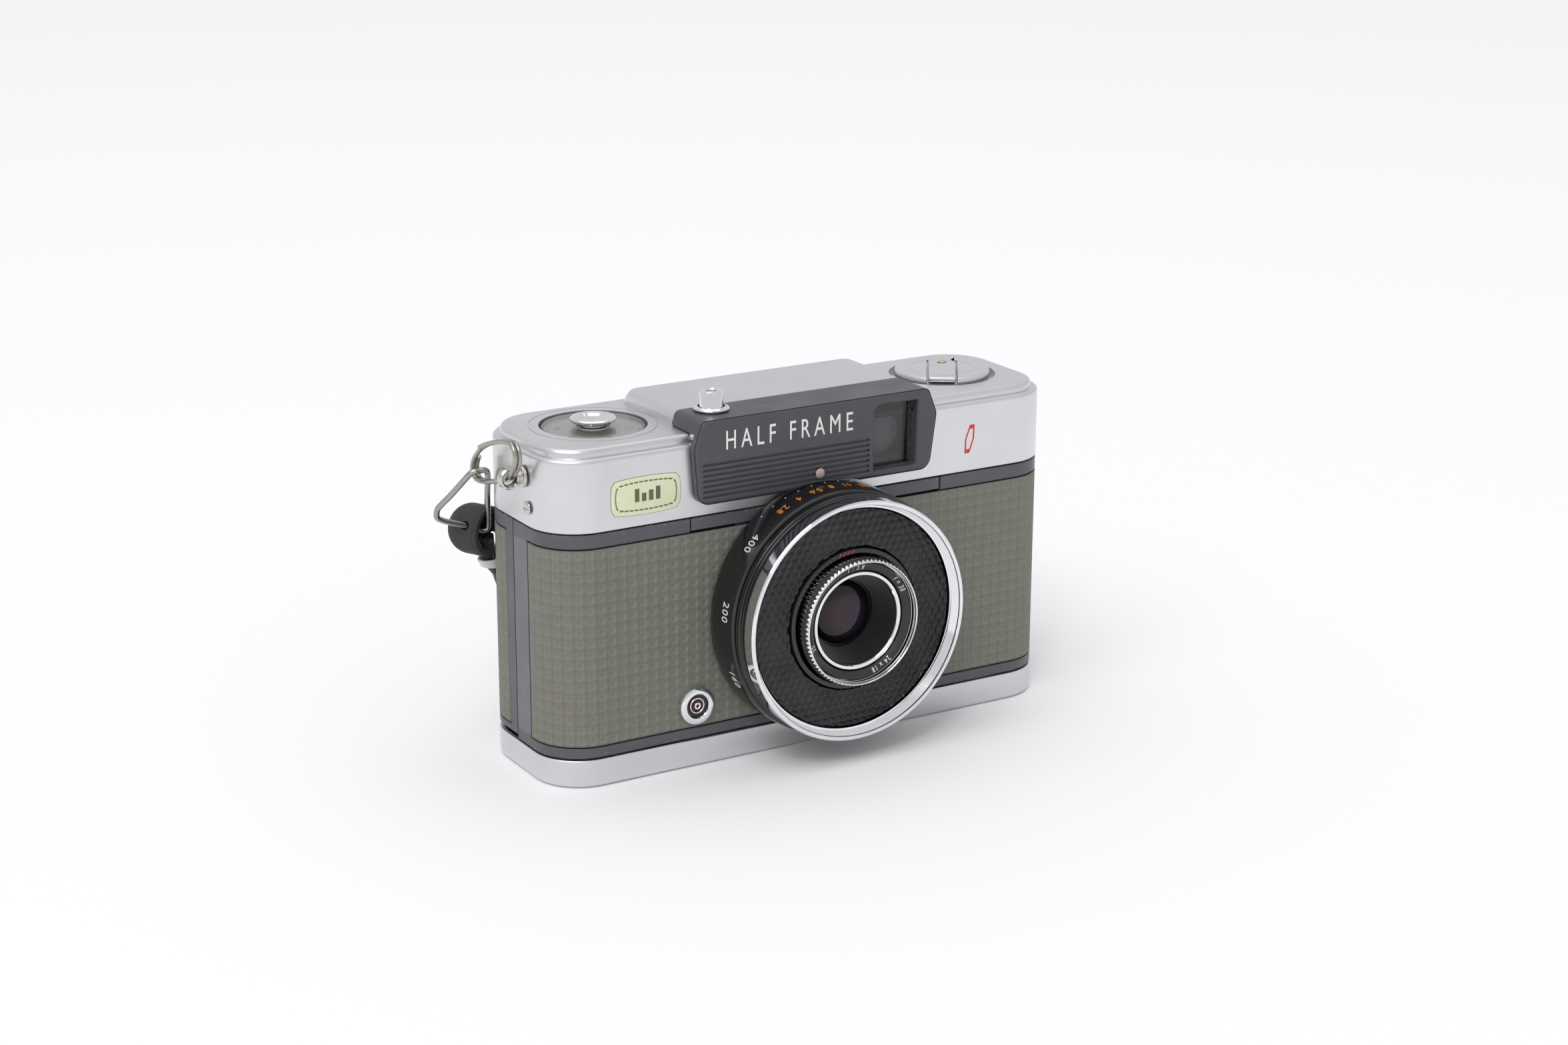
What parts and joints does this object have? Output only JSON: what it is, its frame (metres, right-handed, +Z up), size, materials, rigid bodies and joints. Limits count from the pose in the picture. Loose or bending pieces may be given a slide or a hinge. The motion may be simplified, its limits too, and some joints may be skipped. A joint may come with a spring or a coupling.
{
  "type": "half frame camera",
  "caption": "Compact half frame film camera with a ring exposure cell round its lens, a removable back, a folding rewind crank and a wrist strap.",
  "frame": {"origin": "middle of the base's underside, on the surface the camera stands on", "axes": "+X to the right seen from the front, +Y towards the back, +Z up; the lens looks along -Y"},
  "size_m": [0.1163, 0.0733, 0.0693],
  "materials": {
    "satin_silver": "satin plated",
    "dark_grey_paint": "satin paint",
    "grey_leatherette": "grained leatherette",
    "chrome": "bright chrome",
    "black_enamel": "black anodised or painted",
    "coated_glass": "coated optical glass",
    "clear_plastic": "clear",
    "exposure_cell": "dark cell behind a lens plate",
    "black_rubber": "matt",
    "plain_steel": "plain",
    "brass": "plain",
    "cast_alloy": "black crackle over cast alloy",
    "tunnel_black": "matt black",
    "brown_insulator": "moulded",
    "strap_cord": "braided cord",
    "pale_plastic": "moulded"
  },
  "bodies": {
    "camera": {"top_cover": "satin_silver", "front_shell": "dark_grey_paint", "front_plate": "dark_grey_paint", "front_fascia": "dark_grey_paint", "leatherette_left": "grey_leatherette", "leatherette_right": "grey_leatherette", "sync_socket_ring": "chrome", "index_pin": "chrome", "release_collar": "chrome", "bezel_ring": "chrome", "eyepiece": "black_enamel", "shutter_housing": "black_enamel", "step_ring": "black_enamel", "inner_trim_ring": "black_enamel", "viewfinder_window": "coated_glass", "eyepiece_lens": "coated_glass", "cell_window": "coated_glass", "rear_element": "coated_glass", "counter_window": "clear_plastic", "exposure_cell": "exposure_cell", "cover_screw_left": "plain_steel", "cover_screw_right": "plain_steel", "strap_lug": "plain_steel", "rear_lens_cell": "brass", "body_casting": "cast_alloy", "viewfinder_tube": "tunnel_black", "sync_insulator": "brown_insulator"},
    "back": {"base_cover": "satin_silver", "tripod_bush": "brass", "back_cover": "dark_grey_paint", "back_leatherette": "grey_leatherette", "pressure_plate": "plain_steel"},
    "lock": {"lock_disc": "plain_steel"},
    "key": {"lock_key": "plain_steel"},
    "speed": {"speed_ring": "black_enamel"},
    "focus": {"focus_ring": "chrome"},
    "front_cell": {"front_lens_cell": "black_enamel", "front_element": "coated_glass", "name_ring": "black_enamel"},
    "shutter_left": {"shutter_blade_left": "plain_steel"},
    "shutter_right": {"shutter_blade_right": "plain_steel"},
    "aperture_left": {"aperture_blade_left": "plain_steel"},
    "aperture_right": {"aperture_blade_right": "plain_steel"},
    "release": {"release_button": "chrome"},
    "film_advance": {"advance_wheel": "black_enamel", "take_up_spool": "black_enamel"},
    "sprocket": {"film_sprocket": "plain_steel"},
    "counter": {"counter_dial": "pale_plastic", "counter_knob": "chrome"},
    "rewind_lifter": {"rewind_sleeve": "brass"},
    "rewind": {"rewind_knob": "satin_silver", "rewind_shaft": "plain_steel"},
    "crank": {"rewind_crank": "satin_silver"},
    "crank_end": {"crank_tip": "brass"},
    "undo": {"rewind_release_button": "chrome"},
    "ring": {"strap_ring": "plain_steel"},
    "strap": {"strap_link": "plain_steel", "strap_boot": "black_rubber", "wrist_strap": "strap_cord", "strap_keeper": "pale_plastic"}
  },
  "joints": [
    {"name": "back_slide", "type": "slide", "parent": "camera", "child": "back", "axis": [0, 0, -1], "range_m": [0, 0.045]},
    {"name": "lock_turn", "type": "hinge", "parent": "back", "child": "lock", "pos_m": [0.022, 0, 0.001], "axis": [0, 0, -1], "range_deg": [0, 90]},
    {"name": "key_fold", "type": "hinge", "parent": "lock", "child": "key", "pos_m": [0.022, 0.002, 0.00047], "axis": [1, 0, 0], "range_deg": [0, 90]},
    {"name": "speed_ring_turn", "type": "hinge", "parent": "camera", "child": "speed", "pos_m": [0.0006, -0.01575, 0.02765], "axis": [0, -1, 0], "range_deg": [-60, 60]},
    {"name": "focus_turn", "type": "hinge", "parent": "camera", "child": "focus", "pos_m": [0.0006, -0.01575, 0.02765], "axis": [0, -1, 0], "range_deg": [0, 110]},
    {"name": "front_cell_slide", "type": "slide", "parent": "camera", "child": "front_cell", "axis": [0, -1, 0], "range_m": [0, 0.0012]},
    {"name": "shutter_left_swing", "type": "hinge", "parent": "camera", "child": "shutter_left", "pos_m": [-0.0059, -0.01875, 0.03965], "axis": [0, 1, 0], "range_deg": [0, 32]},
    {"name": "shutter_right_swing", "type": "hinge", "parent": "camera", "child": "shutter_right", "pos_m": [0.0071, -0.01935, 0.03965], "axis": [0, 1, 0], "range_deg": [-32, 0]},
    {"name": "aperture_left_swing", "type": "hinge", "parent": "camera", "child": "aperture_left", "pos_m": [-0.0089, -0.02015, 0.03965], "axis": [0, 1, 0], "range_deg": [-7, 10]},
    {"name": "aperture_right_swing", "type": "hinge", "parent": "camera", "child": "aperture_right", "pos_m": [0.0101, -0.02075, 0.03965], "axis": [0, 1, 0], "range_deg": [-10, 7]},
    {"name": "release_press", "type": "slide", "parent": "camera", "child": "release", "axis": [0, 0, -1], "range_m": [0, 0.0024], "stiffness_N_per_m": 400, "springref_m": -0.001},
    {"name": "advance_turn", "type": "hinge", "parent": "camera", "child": "film_advance", "pos_m": [-0.037, 0.003, 0.0524], "axis": [0, 0, 1], "continuous": true},
    {"name": "sprocket_turn", "type": "hinge", "parent": "camera", "child": "sprocket", "pos_m": [-0.0216, 0.0026, 0.03], "axis": [0, 0, 1], "continuous": true},
    {"name": "counter_turn", "type": "hinge", "parent": "camera", "child": "counter", "pos_m": [-0.037, 0.00055, 0.061], "axis": [0, 0, 1], "continuous": true},
    {"name": "rewind_lift", "type": "slide", "parent": "camera", "child": "rewind_lifter", "axis": [0, 0, 1], "range_m": [0, 0.006]},
    {"name": "rewind_turn", "type": "hinge", "parent": "rewind_lifter", "child": "rewind", "pos_m": [0.0383, 0.00065, 0.05], "axis": [0, 0, 1], "continuous": true},
    {"name": "crank_fold", "type": "hinge", "parent": "rewind", "child": "crank", "pos_m": [0.03369, -0.00626, 0.0632], "axis": [0.8319, -0.5549, 0], "range_deg": [0, 160]},
    {"name": "crank_tip_turn", "type": "hinge", "parent": "crank", "child": "crank_end", "pos_m": [0.04069, 0.00423, 0.063], "axis": [0, 0, 1], "continuous": true},
    {"name": "undo_press", "type": "slide", "parent": "camera", "child": "undo", "axis": [0, -1, 0], "range_m": [0, 0.0015], "stiffness_N_per_m": 300, "springref_m": -0.001},
    {"name": "ring_swing", "type": "hinge", "parent": "camera", "child": "ring", "pos_m": [-0.0564, -0.00465, 0.0566], "axis": [0, 1, 0], "range_deg": [-6, 10]},
    {"name": "strap_swing", "type": "hinge", "parent": "camera", "child": "strap", "pos_m": [-0.0566, 0.0081, 0.0543], "axis": [1, 0, 0], "range_deg": [0, 20]}
  ],
  "couplings": [
    {"joint": "focus_turn", "follows": "front_cell_slide", "rad_per_m": 1599},
    {"joint": "shutter_right_swing", "follows": "shutter_left_swing", "ratio": -1},
    {"joint": "aperture_right_swing", "follows": "aperture_left_swing", "ratio": -1},
    {"joint": "sprocket_turn", "follows": "advance_turn", "ratio": -0.7},
    {"joint": "counter_turn", "follows": "advance_turn", "ratio": 0.03}
  ]
}
